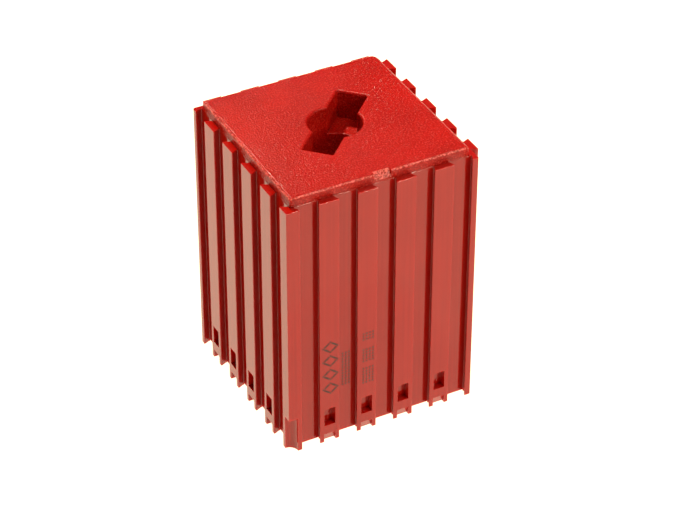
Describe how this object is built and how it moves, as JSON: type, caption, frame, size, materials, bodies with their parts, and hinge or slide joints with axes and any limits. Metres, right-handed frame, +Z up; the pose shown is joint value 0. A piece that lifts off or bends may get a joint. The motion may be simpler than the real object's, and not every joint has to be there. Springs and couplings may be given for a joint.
{
  "type": "modular tool holder block",
  "caption": "Square ribbed plastic tool-storage block with a keyed socket insert, dovetail grooves and tongues on its sides and catch windows at its feet.",
  "frame": {"origin": "centre of the block's overall outline, at the height of its feet", "axes": "+Z up along the socket; -X and -Y are the grooved faces, +X and +Y the tongued faces"},
  "size_m": [0.0518, 0.0518, 0.0725],
  "materials": {
    "polished_red_plastic": "polished, with faint upright draw lines",
    "textured_red_plastic": "fine spark-eroded texture"
  },
  "bodies": {
    "box": {"box_body": "polished_red_plastic"},
    "insert": {"socket_insert": "textured_red_plastic"}
  },
  "joints": [
    {"name": "insert_lift", "type": "slide", "parent": "box", "child": "insert", "axis": [0, 0, 1], "range_m": [0, 0.008]}
  ]
}
